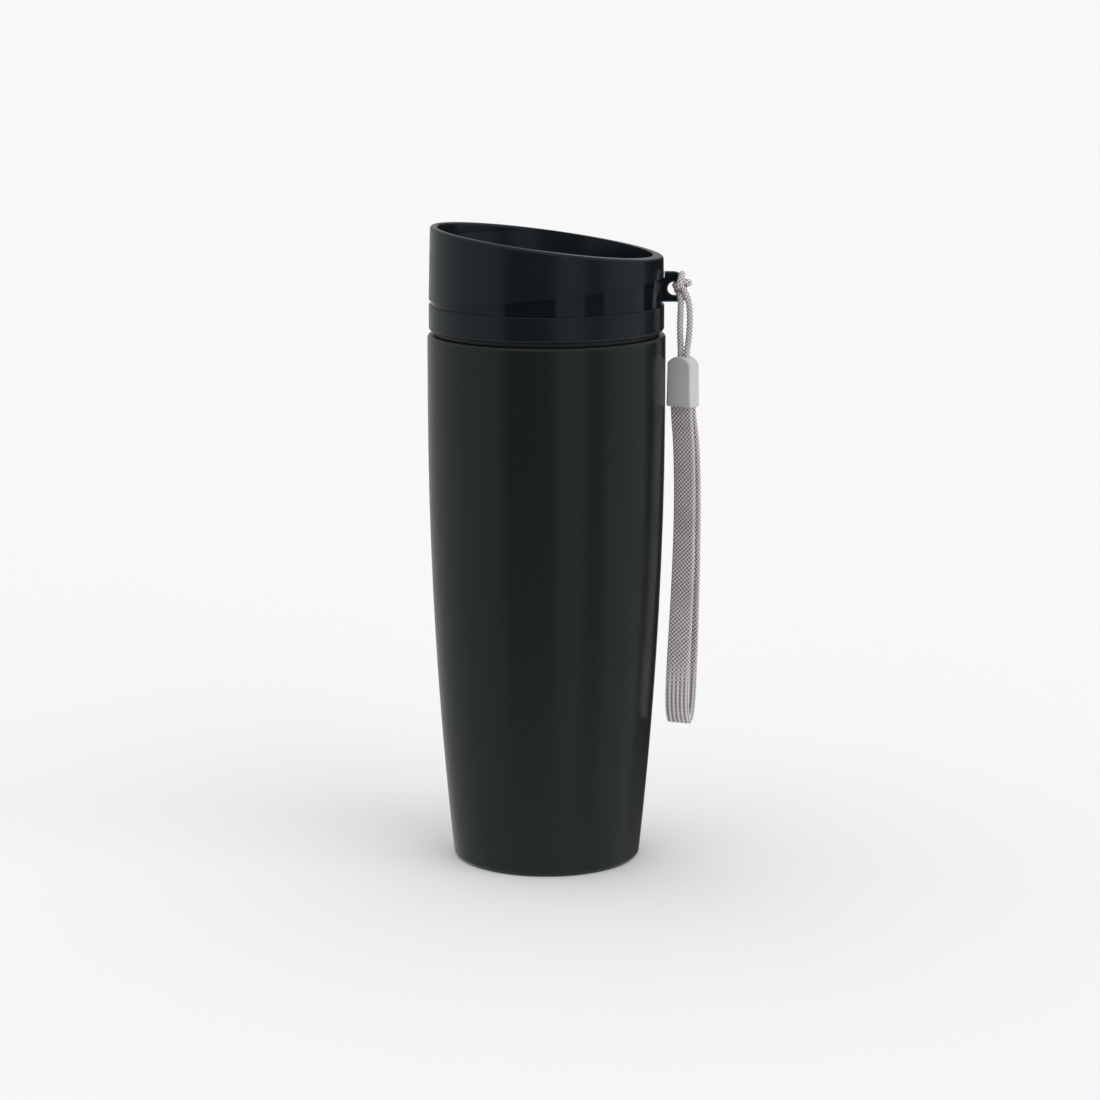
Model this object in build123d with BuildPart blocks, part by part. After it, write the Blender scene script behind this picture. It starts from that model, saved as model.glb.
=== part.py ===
"""Insulated travel mug with a screw-in press-to-open lid and a wrist lanyard.

Millimetres, +Z up.  The origin is the centre of the mug's foot, on the surface it stands on.
The lanyard's tab points along +X and the drinking rim falls towards it.
"""
from build123d import *
import os
from math import sqrt, tan, radians, pi

os.makedirs("parts", exist_ok=True)

# ---------------------------------------------------------------- driving dimensions
BODY_RADIUS = 37.5          # widest radius of the painted shell
SHOULDER_Z = 146.0          # the flank curve starts here and runs down
FLANK_RADIUS = 1392.0       # radius of the long curve down the flank
LIP_Z = 169.0               # top of the steel body
LIP_ROUND = 1.2             # outer rounding of the body's lip
SHEET = 0.6                 # thickness of the steel sheet
MID_FLANK_Z = 80.0          # a height half way down the flank, for its arcs
FOOT_BEVEL = 1.1            # bevel round the foot
FOOT_RADIUS = 29.2          # outer edge of the foot ring
FOOT_INNER_RADIUS = 27.8    # inner edge of the foot ring

VACUUM_STEP = 5.0           # from the shell's outside to the liner's outside
NECK_RADIUS = 34.35         # bore of the liner's neck
SEAT_TOP_Z = 154.0          # the conical gasket seat in the liner
SEAT_LOW_Z = 151.0
LINER_FLOOR_Z = 9.0         # inside floor of the cup
LINER_CORNER_Z = 18.0       # where the liner's wall turns in to its floor
LINER_FLAT_RADIUS = 17.5

PLATE_Z = 1.3               # underside of the base plate, above the pad
PLATE_RADIUS = 28.8         # where the plate leaves the foot's inner turn
PLATE_RIM_RADIUS = 29.2     # its upright rim
PLATE_RIM_Z = 4.0
SEAL_HOLE = 0.8             # radius of the hole that the air is drawn out through
SEAL_BEAD_RADIUS = 2.4
SEAL_BEAD_HEIGHT = 0.9
GETTER_X = 11.0             # the getter hangs under the liner's floor
GETTER_RADIUS = 4.5
GETTER_HEIGHT = 1.4
PAD_GAP = 0.15              # between the pad and the foot ring
PAD_GROOVE_RADIUS = 23.0    # a ring groove under the pad
PAD_GROOVE_WIDTH = 1.2
PAD_GROOVE_DEPTH = 0.4

THREAD_LEAD = 8.0           # rise in one turn, two starts
THREAD_LENGTH = 9.0
THREAD_Z = 156.6            # lower end of the neck's thread
THREAD_ROOT = 1.7           # width of a ridge at its root
THREAD_TIP = 0.9            # and at its crest
THREAD_BED = 0.1            # how far a ridge's root is sunk in its wall
NECK_CREST_RADIUS = 33.15
LID_CREST_RADIUS = 34.0

PLUG_RADIUS = 32.6          # outside of the lid's plug
PLUG_BORE = 30.2
PLUG_Z = 154.4              # bottom face of the plug, above its gasket
PLUG_LIP_RADIUS = 31.3      # the thin lip inside the gasket
PLUG_LIP_Z = 152.0
GASKET_Z = 152.2            # lower edge of the lid's gasket
GASKET_RADIUS = 32.85
GASKET_CHAMFER = 0.4
FLANGE_RADIUS = 35.4        # the plug's flange, just above the body's lip
FLANGE_Z = 169.15
DECK_Z = 176.3              # floor of the drinking bowl
DECK_SHEET = 2.0
LID_HUB_RADIUS = 33.4       # the lid core where the outer ring sits on it
THROAT_RADIUS = 21.0        # the opening that the valve closes
THROAT_WALL = 1.8
THROAT_Z = 166.5            # valve seat, lower edge of the throat
RIB_Z = 169.2               # three ribs hold the hub in the throat
RIB_HEIGHT = 5.8
RIB_WIDTH = 2.6

RING_RADIUS = 37.0          # lid ring and slanted collar
RING_LOW_Z = 170.2
RING_TOP_Z = 178.3
RING_ROUND = 0.9
RING_EDGE = 0.3             # fillet on the ring's top edge
BAND_RADIUS = 36.3          # glossy band, set back from the ring and the collar
BAND_BORE = 33.2
BAND_STOCK = 12.0           # the band's blank, before the slanted cut

SEAM_CENTRE_Z = 183.62      # the collar's lower edge is a tilted plane
SEAM_SLOPE = 0.0993
RIM_CENTRE_Z = 198.2        # and so is its drinking rim, falling to +X
RIM_SLOPE = -0.1326
RIM_RADIUS = 36.35          # outside of the collar at the rim's level
COLLAR_LOW_Z = 177.3        # lower end of the collar's skirt, on its seal
COLLAR_TURN_Z = 179.92      # where the collar's outside starts to taper
COLLAR_STOCK_Z = 207.0      # top of the collar's blank, before the rim is cut
SKIRT_RADIUS = 33.1         # the skirt stands inside the glossy band
COLLAR_BORE = 31.2          # inside of the collar where it meets the deck
RIM_BORE = 34.2             # inside of the collar at the rim's level
RIM_ROUND = 0.9

TAB_X = 40.1                # centre of the lanyard hole
TAB_Z = 183.15
TAB_END_X = 44.0            # the tab's outer end
TAB_TOP_CORNER = 4.5        # radii of its two outer corners
TAB_LOW_CORNER = 2.0
TAB_HOLE = 2.15
TAB_THICKNESS = 3.0
TAB_FLAT_Z = 178.95         # the tab's lower edge is flat
TAB_TOP_Z = 188.5
TAB_ROOT_Z = 186.62         # top of the web's root, behind the collar's foot
TAB_ROOT_X = 34.8
TAB_ROUND = 0.7

HUB_RADIUS = 8.4            # hub in the throat, on three ribs
HUB_Z = 167.4
GUIDE_RADIUS = 6.2          # recess for the click guide
GUIDE_TOP_Z = 173.4
STEM_RADIUS = 2.2
STEM_BORE = 2.3
STEM_TOP_Z = 188.0
STEM_FLANGE_RADIUS = 4.2
CAM_Z = 167.0               # the click cam rests on the stem's flange
CAM_TEETH = 8
CAM_RADIUS = 4.3
CAM_HEIGHT = 2.3
CAM_TOOTH_RADIUS = 3.4      # middle of the cam's ring of teeth
TOOTH_WIDTH = 1.3
TOOTH_HEIGHT = 0.9
GUIDE_BORE = 4.6            # the guide's sleeve runs round the cam
GUIDE_ROOF = 1.6            # its roof carries the fixed teeth
GUIDE_ROOF_RADIUS = 5.0
GUIDE_ROOF_BORE = 2.6
GUIDE_TOOTH_RADIUS = 3.7
GUIDE_LIFT = 0.2            # between the hub's lower face and the guide's
SEAL_RADIUS = 4.0
SEAL_Z = 174.8

VALVE_RADIUS = 24.2
VALVE_Z = 163.0
VALVE_SHEET = 2.4
VALVE_EDGE = 1.4            # rounding of the disc's lower edge
GASKET_INNER = 20.9         # the valve's gasket, in a groove in the disc
GASKET_OUTER = 23.5
GASKET_GROOVE = 0.7
GASKET_GAP = 0.15           # between the valve's gasket and its seat
SCREW_RADIUS = 1.0
SCREW_HOLE = 1.1
SCREW_LENGTH = 7.5
SCREW_HEAD_RADIUS = 2.7
SCREW_HEAD_HEIGHT = 1.6
SCREW_CROSS_LENGTH = 2.6
SCREW_CROSS_WIDTH = 0.6
SCREW_CROSS_DEPTH = 0.9
STEM_PILOT = 6.0            # depth of the stem's hole for the screw

BUTTON_RADIUS = 19.5
BUTTON_Z = 182.3            # lower edge of the button at rest
BUTTON_CENTRE_Z = 190.0     # middle of its slanted top
BUTTON_STOCK = 16.0         # height of the button's blank, before its slanted cut
BUTTON_EDGE = 1.2
BUTTON_SHEET = 1.8
BUTTON_CAVITY = 17.2
BUTTON_BOSS_RADIUS = 6.4
BUTTON_BOSS_Z = 184.3
BUTTON_DISH = 0.7           # depth of the thumb dish
BUTTON_DISH_RADIUS = 15.0   # and its radius

SPRING_RADIUS = 5.2         # mean radius of the coil
SPRING_WIRE = 0.8
SPRING_TURNS = 4.0

CORD_DIAMETER = 1.9
CORD_IN_CAP_Z = 157.6       # the cord's two ends, inside the cap
STRAP_WIDTH = 8.0
STRAP_THICKNESS = 1.7
LANYARD_X = 42.9            # the cap and the strap hang on this upright axis, beside the mug
LANYARD_Y = -3.25
LANYARD_YAW = -35.0         # and are turned about it
CAP_WIDTH = 9.4
CAP_DEPTH = 5.4
CAP_LOW_Z = 146.2
CAP_SHOULDER_Z = 160.0
CAP_TOP_Z = 162.2
CAP_DRAFT = 0.3             # how much narrower each side is at the shoulder
CAP_ROUND = 0.8             # of the arched top and the upright edges
CAP_LOW_ROUND = 0.55        # of the lower rim
CAP_SLOT_WIDTH = 8.06
CAP_SLOT_DEPTH = 3.8
CAP_SLOT_Z = 152.3          # top of the slot that holds the strap's ends
CAP_HOLE_GAP = 0.02         # round each cord end
STRAP_END_Z = 152.2         # the strap's two ends, inside the cap


def flank(z):
    """Outer radius of the shell at height z."""
    return BODY_RADIUS - FLANK_RADIUS + sqrt(FLANK_RADIUS**2 - (SHOULDER_Z - z) ** 2)


def tilted(centre_z, slope):
    """Plane through (0, 0, centre_z) that rises by slope along +X, with its normal upwards."""
    return Plane(origin=(0, 0, centre_z), x_dir=(1, 0, slope), z_dir=(-slope, 0, 1))


def corner_radii(points):
    """The largest tidy arc at each corner: 0.45 of the shorter run over the half turn's tangent."""
    radii = []
    for before, corner, after in zip(points, points[1:], points[2:]):
        run_in = Vector(*corner) - Vector(*before)
        run_out = Vector(*after) - Vector(*corner)
        shorter = min(run_in.length, run_out.length)
        radii.append(0.45 * shorter / tan(radians(run_in.get_angle(run_out)) / 2))
    return radii


DIAGONAL = sqrt(0.5)        # cosine and sine of 45 degrees

# ---------------------------------------------------------------- vessel
with BuildPart() as outer_shell:
    with BuildSketch(Plane.XZ):
        with BuildLine():
            lip_centre = BODY_RADIUS - LIP_ROUND
            lip_in = LIP_ROUND - SHEET
            Line((FOOT_INNER_RADIUS, 0), (FOOT_RADIUS, 0))
            Line((FOOT_RADIUS, 0), (flank(FOOT_BEVEL), FOOT_BEVEL))
            ThreePointArc(
                (flank(FOOT_BEVEL), FOOT_BEVEL), (flank(MID_FLANK_Z), MID_FLANK_Z), (BODY_RADIUS, SHOULDER_Z)
            )
            Line((BODY_RADIUS, SHOULDER_Z), (BODY_RADIUS, LIP_Z - LIP_ROUND))
            ThreePointArc(
                (BODY_RADIUS, LIP_Z - LIP_ROUND),
                (lip_centre + LIP_ROUND * DIAGONAL, LIP_Z - LIP_ROUND + LIP_ROUND * DIAGONAL),
                (lip_centre, LIP_Z),
            )
            Polyline(
                (lip_centre, LIP_Z),
                (NECK_RADIUS + SHEET, LIP_Z),
                (NECK_RADIUS + SHEET, LIP_Z - SHEET),
                (lip_centre, LIP_Z - SHEET),
            )
            ThreePointArc(
                (lip_centre, LIP_Z - SHEET),
                (lip_centre + lip_in * DIAGONAL, LIP_Z - LIP_ROUND + lip_in * DIAGONAL),
                (BODY_RADIUS - SHEET, LIP_Z - LIP_ROUND),
            )
            Line((BODY_RADIUS - SHEET, LIP_Z - LIP_ROUND), (BODY_RADIUS - SHEET, SHOULDER_Z))
            ThreePointArc(
                (BODY_RADIUS - SHEET, SHOULDER_Z),
                (flank(MID_FLANK_Z) - SHEET, MID_FLANK_Z),
                (flank(FOOT_BEVEL) - SHEET, FOOT_BEVEL),
            )
            Polyline(
                (flank(FOOT_BEVEL) - SHEET, FOOT_BEVEL),
                (FOOT_RADIUS - SHEET / 2, SHEET),
                (FOOT_INNER_RADIUS, SHEET),
                (FOOT_INNER_RADIUS, 0),
            )
        make_face()
    revolve(axis=Axis.Z)
outer_shell.part.label = "outer_shell"
export_step(outer_shell.part, "parts/outer_shell.step")


def liner(z):
    """Inner radius of the liner at height z, below the seat."""
    return flank(z) - VACUUM_STEP - SHEET


with BuildPart() as inner_liner:
    with BuildSketch(Plane.XZ):
        with BuildLine():
            corner_r = liner(LINER_CORNER_Z) - LINER_FLAT_RADIUS
            corner_h = LINER_CORNER_Z - LINER_FLOOR_Z
            Polyline(
                (0, LINER_FLOOR_Z - SHEET),
                (0, LINER_FLOOR_Z),
                (LINER_FLAT_RADIUS, LINER_FLOOR_Z),
            )
            ThreePointArc(
                (LINER_FLAT_RADIUS, LINER_FLOOR_Z),
                (LINER_FLAT_RADIUS + corner_r * DIAGONAL, LINER_CORNER_Z - corner_h * DIAGONAL),
                (liner(LINER_CORNER_Z), LINER_CORNER_Z),
            )
            ThreePointArc(
                (liner(LINER_CORNER_Z), LINER_CORNER_Z),
                (liner(MID_FLANK_Z), MID_FLANK_Z),
                (liner(SEAT_LOW_Z), SEAT_LOW_Z),
            )
            Polyline(
                (liner(SEAT_LOW_Z), SEAT_LOW_Z),
                (NECK_RADIUS, SEAT_TOP_Z),
                (NECK_RADIUS, LIP_Z),
                (NECK_RADIUS + SHEET, LIP_Z),
                (NECK_RADIUS + SHEET, SEAT_TOP_Z - SHEET / 2),
                (liner(SEAT_LOW_Z) + SHEET, SEAT_LOW_Z - SHEET / 2),
            )
            ThreePointArc(
                (liner(SEAT_LOW_Z) + SHEET, SEAT_LOW_Z - SHEET / 2),
                (liner(MID_FLANK_Z) + SHEET, MID_FLANK_Z),
                (liner(LINER_CORNER_Z) + SHEET, LINER_CORNER_Z),
            )
            ThreePointArc(
                (liner(LINER_CORNER_Z) + SHEET, LINER_CORNER_Z),
                (LINER_FLAT_RADIUS + (corner_r + SHEET) * DIAGONAL, LINER_CORNER_Z - (corner_h + SHEET) * DIAGONAL),
                (LINER_FLAT_RADIUS, LINER_FLOOR_Z - SHEET),
            )
            Line((LINER_FLAT_RADIUS, LINER_FLOOR_Z - SHEET), (0, LINER_FLOOR_Z - SHEET))
        make_face()
    revolve(axis=Axis.Z)
    for rise in (0, THREAD_LEAD / 2):
        with BuildLine(Plane.XY.offset(THREAD_Z + rise)) as neck_helix:
            Helix(pitch=THREAD_LEAD, height=THREAD_LENGTH - rise, radius=NECK_RADIUS + THREAD_BED)
        with BuildSketch(Plane(origin=neck_helix.line @ 0, x_dir=(-1, 0, 0), z_dir=neck_helix.line % 0)):
            with BuildLine():
                depth = NECK_RADIUS + THREAD_BED - NECK_CREST_RADIUS
                Polyline(
                    (0, -THREAD_ROOT / 2),
                    (depth, -THREAD_TIP / 2),
                    (depth, THREAD_TIP / 2),
                    (0, THREAD_ROOT / 2),
                    close=True,
                )
            make_face()
        sweep(path=neck_helix.line, is_frenet=True)
inner_liner.part.label = "inner_liner"
export_step(inner_liner.part, "parts/inner_liner.step")

with BuildPart() as base_plate:
    with BuildSketch(Plane.XZ):
        with BuildLine():
            Polyline(
                (SEAL_HOLE, PLATE_Z),
                (FOOT_INNER_RADIUS + 0.1, PLATE_Z),
                (FOOT_INNER_RADIUS + 0.1, SHEET),
                (PLATE_RADIUS, SHEET),
                (PLATE_RIM_RADIUS, PLATE_Z + 0.1),
                (PLATE_RIM_RADIUS, PLATE_RIM_Z),
                (PLATE_RIM_RADIUS - SHEET, PLATE_RIM_Z),
                (PLATE_RIM_RADIUS - SHEET, PLATE_Z + SHEET),
                (SEAL_HOLE, PLATE_Z + SHEET),
                close=True,
            )
        make_face()
    revolve(axis=Axis.Z)
base_plate.part.label = "base_plate"
export_step(base_plate.part, "parts/base_plate.step")

with BuildPart() as base_pad:
    Cylinder(FOOT_INNER_RADIUS - PAD_GAP, PLATE_Z, align=(Align.CENTER, Align.CENTER, Align.MIN))
    with BuildSketch(Plane.XY):
        Circle(PAD_GROOVE_RADIUS)
        Circle(PAD_GROOVE_RADIUS - PAD_GROOVE_WIDTH, mode=Mode.SUBTRACT)
    extrude(amount=PAD_GROOVE_DEPTH, mode=Mode.SUBTRACT)
    fillet(base_pad.edges().filter_by(GeomType.CIRCLE).sort_by(SortBy.RADIUS)[-2:].sort_by(Axis.Z)[0], 0.3)
base_pad.part.label = "base_pad"
export_step(base_pad.part, "parts/base_pad.step")

with BuildPart() as vacuum_seal:
    with BuildSketch(Plane.XY.offset(PLATE_Z)):
        Circle(SEAL_HOLE)
    extrude(amount=SHEET)
    with BuildSketch(Plane.XY.offset(PLATE_Z + SHEET)):
        Circle(SEAL_BEAD_RADIUS)
    extrude(amount=SEAL_BEAD_HEIGHT)
    fillet(vacuum_seal.edges().sort_by(Axis.Z)[-1], 0.7)
vacuum_seal.part.label = "vacuum_seal"
export_step(vacuum_seal.part, "parts/vacuum_seal.step")

with BuildPart() as getter:
    with Locations((GETTER_X, 0, LINER_FLOOR_Z - SHEET)):
        Cylinder(GETTER_RADIUS, GETTER_HEIGHT, align=(Align.CENTER, Align.CENTER, Align.MAX))
    fillet(getter.edges().sort_by(Axis.Z)[0], 0.5)
getter.part.label = "getter"
export_step(getter.part, "parts/getter.step")

# ---------------------------------------------------------------- lid
with BuildPart() as lid_core:
    with BuildSketch(Plane.XZ):
        with BuildLine():
            Polyline(
                (PLUG_BORE, PLUG_LIP_Z),
                (PLUG_LIP_RADIUS, PLUG_LIP_Z),
                (PLUG_LIP_RADIUS, PLUG_Z),
                (PLUG_RADIUS, PLUG_Z),
                (PLUG_RADIUS, FLANGE_Z),
                (FLANGE_RADIUS, FLANGE_Z),
                (FLANGE_RADIUS, RING_LOW_Z),
                (LID_HUB_RADIUS, RING_LOW_Z),
                (LID_HUB_RADIUS, DECK_Z),
                (THROAT_RADIUS, DECK_Z),
                (THROAT_RADIUS, THROAT_Z),
                (THROAT_RADIUS + THROAT_WALL, THROAT_Z),
                (THROAT_RADIUS + THROAT_WALL, DECK_Z - DECK_SHEET),
                (PLUG_BORE, DECK_Z - DECK_SHEET),
                close=True,
            )
        make_face()
    revolve(axis=Axis.Z)
    with BuildSketch(Plane.XY.offset(HUB_Z)):
        Circle(HUB_RADIUS)
    extrude(amount=DECK_Z - HUB_Z)
    with BuildSketch(Plane.XY.offset(RIB_Z)):
        with PolarLocations(0, 3, start_angle=60):
            with Locations(((HUB_RADIUS + THROAT_RADIUS) / 2, 0)):
                Rectangle(THROAT_RADIUS - HUB_RADIUS + THROAT_WALL, RIB_WIDTH)
    extrude(amount=RIB_HEIGHT)
    with BuildSketch(Plane.XY.offset(HUB_Z)):
        Circle(GUIDE_RADIUS)
    extrude(amount=GUIDE_TOP_Z - HUB_Z, mode=Mode.SUBTRACT)
    with BuildSketch(Plane.XY.offset(SEAL_Z)):
        Circle(SEAL_RADIUS)
    extrude(amount=DECK_Z - SEAL_Z, mode=Mode.SUBTRACT)
    with BuildSketch(Plane.XY.offset(HUB_Z)):
        Circle(STEM_BORE)
    extrude(amount=DECK_Z - HUB_Z, mode=Mode.SUBTRACT)
    for rise in (THREAD_LEAD / 4, THREAD_LEAD * 3 / 4):
        with BuildLine(Plane.XY.offset(THREAD_Z + rise)) as lid_helix:
            Helix(pitch=THREAD_LEAD, height=THREAD_LENGTH - rise, radius=PLUG_RADIUS - THREAD_BED)
        with BuildSketch(Plane(origin=lid_helix.line @ 0, x_dir=(1, 0, 0), z_dir=lid_helix.line % 0)):
            with BuildLine():
                depth = LID_CREST_RADIUS - PLUG_RADIUS + THREAD_BED
                Polyline(
                    (0, -THREAD_ROOT / 2),
                    (depth, -THREAD_TIP / 2),
                    (depth, THREAD_TIP / 2),
                    (0, THREAD_ROOT / 2),
                    close=True,
                )
            make_face()
        sweep(path=lid_helix.line, is_frenet=True)
lid_core.part.label = "lid_core"
export_step(lid_core.part, "parts/lid_core.step")

with BuildPart() as lid_gasket:
    with BuildSketch(Plane.XZ):
        with BuildLine():
            Polyline(
                (PLUG_LIP_RADIUS, PLUG_Z),
                (PLUG_LIP_RADIUS, GASKET_Z),
                (GASKET_RADIUS - GASKET_CHAMFER, GASKET_Z),
                (GASKET_RADIUS, GASKET_Z + GASKET_CHAMFER),
                (GASKET_RADIUS, PLUG_Z),
                close=True,
            )
        make_face()
    revolve(axis=Axis.Z)
lid_gasket.part.label = "lid_gasket"
export_step(lid_gasket.part, "parts/lid_gasket.step")

with BuildPart() as lid_ring:
    round_centre = RING_RADIUS - RING_ROUND
    with BuildSketch(Plane.XZ):
        with BuildLine():
            Line((LID_HUB_RADIUS, RING_LOW_Z), (round_centre, RING_LOW_Z))
            ThreePointArc(
                (round_centre, RING_LOW_Z),
                (round_centre + RING_ROUND * DIAGONAL, RING_LOW_Z + RING_ROUND * (1 - DIAGONAL)),
                (RING_RADIUS, RING_LOW_Z + RING_ROUND),
            )
            Polyline(
                (RING_RADIUS, RING_LOW_Z + RING_ROUND),
                (RING_RADIUS, RING_TOP_Z),
                (LID_HUB_RADIUS, RING_TOP_Z),
                (LID_HUB_RADIUS, RING_LOW_Z),
            )
        make_face()
    revolve(axis=Axis.Z)
    fillet(lid_ring.edges().filter_by(GeomType.CIRCLE).group_by(Axis.Z)[-1].sort_by(SortBy.RADIUS)[-1], RING_EDGE)
lid_ring.part.label = "lid_ring"
export_step(lid_ring.part, "parts/lid_ring.step")

with BuildPart() as strap_ring:
    with BuildSketch(Plane.XY.offset(RING_TOP_Z)):
        Circle(BAND_RADIUS)
        Circle(BAND_BORE, mode=Mode.SUBTRACT)
    extrude(amount=BAND_STOCK)
    split(bisect_by=tilted(SEAM_CENTRE_Z, SEAM_SLOPE), keep=Keep.BOTTOM)
    with BuildSketch(Plane.XZ):
        with BuildLine():
            FilletPolyline(
                (TAB_ROOT_X, TAB_FLAT_Z),
                (TAB_END_X, TAB_FLAT_Z),
                (TAB_END_X, TAB_TOP_Z),
                (RING_RADIUS, TAB_TOP_Z),
                radius=(TAB_LOW_CORNER, TAB_TOP_CORNER),
            )
            Polyline(
                (RING_RADIUS, TAB_TOP_Z),
                (RING_RADIUS, TAB_ROOT_Z),
                (TAB_ROOT_X, TAB_ROOT_Z),
                (TAB_ROOT_X, TAB_FLAT_Z),
            )
        make_face()
        with Locations((TAB_X, TAB_Z)):
            Circle(TAB_HOLE, mode=Mode.SUBTRACT)
    extrude(amount=TAB_THICKNESS / 2, both=True)
    tab_edges = strap_ring.edges().filter_by(lambda edge: edge.center().X > RING_RADIUS + 0.3)
    side_edges = tab_edges.filter_by(lambda edge: abs(abs(edge.center().Y) - TAB_THICKNESS / 2) < 0.01)
    fillet(side_edges, TAB_ROUND)
strap_ring.part.label = "strap_ring"
export_step(strap_ring.part, "parts/strap_ring.step")

with BuildPart() as drinking_collar:
    with BuildSketch(Plane.XZ):
        with BuildLine():
            Polyline(
                (COLLAR_BORE, COLLAR_LOW_Z),
                (RING_RADIUS, COLLAR_LOW_Z),
                (RING_RADIUS, COLLAR_TURN_Z),
                (RIM_RADIUS, COLLAR_STOCK_Z),
                (RIM_BORE, COLLAR_STOCK_Z),
                (RIM_BORE - 0.2, RIM_CENTRE_Z),
                (COLLAR_BORE, COLLAR_TURN_Z),
                close=True,
            )
        make_face()
    revolve(axis=Axis.Z)
    split(bisect_by=tilted(RIM_CENTRE_Z, RIM_SLOPE), keep=Keep.BOTTOM)
    with BuildSketch(tilted(SEAM_CENTRE_Z, SEAM_SLOPE)):
        Circle(RING_RADIUS + 6)
        Ellipse(SKIRT_RADIUS * sqrt(1 + SEAM_SLOPE**2), SKIRT_RADIUS, mode=Mode.SUBTRACT)
    extrude(amount=-BAND_STOCK - 2, dir=(0, 0, 1), mode=Mode.SUBTRACT)
    rim_edges = drinking_collar.edges().filter_by(lambda edge: edge.center().Z > RIM_CENTRE_Z - 1)
    fillet(rim_edges, RIM_ROUND)
drinking_collar.part.label = "drinking_collar"
export_step(drinking_collar.part, "parts/drinking_collar.step")

with BuildPart() as collar_seal:
    with BuildSketch(Plane.XY.offset(DECK_Z)):
        Circle(SKIRT_RADIUS - 0.1)
        Circle(COLLAR_BORE + 0.4, mode=Mode.SUBTRACT)
    extrude(amount=COLLAR_LOW_Z - DECK_Z)
collar_seal.part.label = "collar_seal"
export_step(collar_seal.part, "parts/collar_seal.step")

# ---------------------------------------------------------------- press-to-open valve
with BuildPart() as button:
    with Locations((0, 0, BUTTON_Z)):
        Cylinder(BUTTON_RADIUS, BUTTON_STOCK, align=(Align.CENTER, Align.CENTER, Align.MIN))
    split(bisect_by=tilted(BUTTON_CENTRE_Z, RIM_SLOPE), keep=Keep.BOTTOM)
    fillet(button.edges().sort_by(Axis.Z)[-1], BUTTON_EDGE)
    dish_sphere = BUTTON_DISH_RADIUS**2 / (2 * BUTTON_DISH)
    with Locations(tilted(BUTTON_CENTRE_Z, RIM_SLOPE).offset(dish_sphere - BUTTON_DISH).location):
        Sphere(dish_sphere, mode=Mode.SUBTRACT)
    with BuildSketch(tilted(BUTTON_CENTRE_Z - BUTTON_SHEET - BUTTON_DISH, RIM_SLOPE)):
        Circle(BUTTON_CAVITY)
    extrude(amount=-BUTTON_STOCK, mode=Mode.SUBTRACT)
    with BuildSketch(Plane.XY.offset(BUTTON_BOSS_Z)):
        Circle(BUTTON_BOSS_RADIUS)
    extrude(amount=BUTTON_CENTRE_Z - BUTTON_SHEET - BUTTON_BOSS_Z)
    with BuildSketch(Plane.XY.offset(BUTTON_BOSS_Z)):
        Circle(STEM_RADIUS)
    extrude(amount=STEM_TOP_Z - BUTTON_BOSS_Z, mode=Mode.SUBTRACT)
button.part.label = "button"
export_step(button.part, "parts/button.step")

with BuildPart() as stem:
    stem_low_z = VALVE_Z + VALVE_SHEET
    with BuildSketch(Plane.XY.offset(stem_low_z)):
        Circle(STEM_FLANGE_RADIUS)
    extrude(amount=CAM_Z - stem_low_z)
    with BuildSketch(Plane.XY.offset(CAM_Z)):
        Circle(STEM_RADIUS)
    extrude(amount=STEM_TOP_Z - CAM_Z)
    with BuildSketch(Plane.XY.offset(stem_low_z)):
        Circle(SCREW_RADIUS)
    extrude(amount=STEM_PILOT, mode=Mode.SUBTRACT)
stem.part.label = "stem"
export_step(stem.part, "parts/stem.step")

with BuildPart() as valve_disc:
    with BuildSketch(Plane.XY.offset(VALVE_Z)):
        Circle(VALVE_RADIUS)
    extrude(amount=VALVE_SHEET)
    fillet(valve_disc.edges().sort_by(Axis.Z)[0], VALVE_EDGE)
    with BuildSketch(Plane.XY.offset(VALVE_Z + VALVE_SHEET)):
        Circle(GASKET_OUTER)
        Circle(GASKET_INNER, mode=Mode.SUBTRACT)
    extrude(amount=-GASKET_GROOVE, mode=Mode.SUBTRACT)
    with BuildSketch(Plane.XY.offset(VALVE_Z)):
        Circle(SCREW_HOLE)
    extrude(amount=VALVE_SHEET, mode=Mode.SUBTRACT)
valve_disc.part.label = "valve_disc"
export_step(valve_disc.part, "parts/valve_disc.step")

with BuildPart() as valve_gasket:
    groove_z = VALVE_Z + VALVE_SHEET - GASKET_GROOVE
    with BuildSketch(Plane.XY.offset(groove_z)):
        Circle(GASKET_OUTER)
        Circle(GASKET_INNER, mode=Mode.SUBTRACT)
    extrude(amount=THROAT_Z - GASKET_GAP - groove_z)
    fillet(valve_gasket.edges().group_by(Axis.Z)[-1], 0.4)
valve_gasket.part.label = "valve_gasket"
export_step(valve_gasket.part, "parts/valve_gasket.step")

with BuildPart() as valve_screw:
    with BuildSketch(Plane.XY.offset(VALVE_Z)):
        Circle(SCREW_HEAD_RADIUS)
    extrude(amount=-SCREW_HEAD_HEIGHT)
    fillet(valve_screw.edges().sort_by(Axis.Z)[0], 0.7)
    with BuildSketch(Plane.XY.offset(VALVE_Z - SCREW_HEAD_HEIGHT)):
        Rectangle(SCREW_CROSS_LENGTH, SCREW_CROSS_WIDTH)
        Rectangle(SCREW_CROSS_WIDTH, SCREW_CROSS_LENGTH)
    extrude(amount=SCREW_CROSS_DEPTH, mode=Mode.SUBTRACT)
    with BuildSketch(Plane.XY.offset(VALVE_Z)):
        Circle(SCREW_RADIUS)
    extrude(amount=SCREW_LENGTH)
valve_screw.part.label = "valve_screw"
export_step(valve_screw.part, "parts/valve_screw.step")

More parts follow.
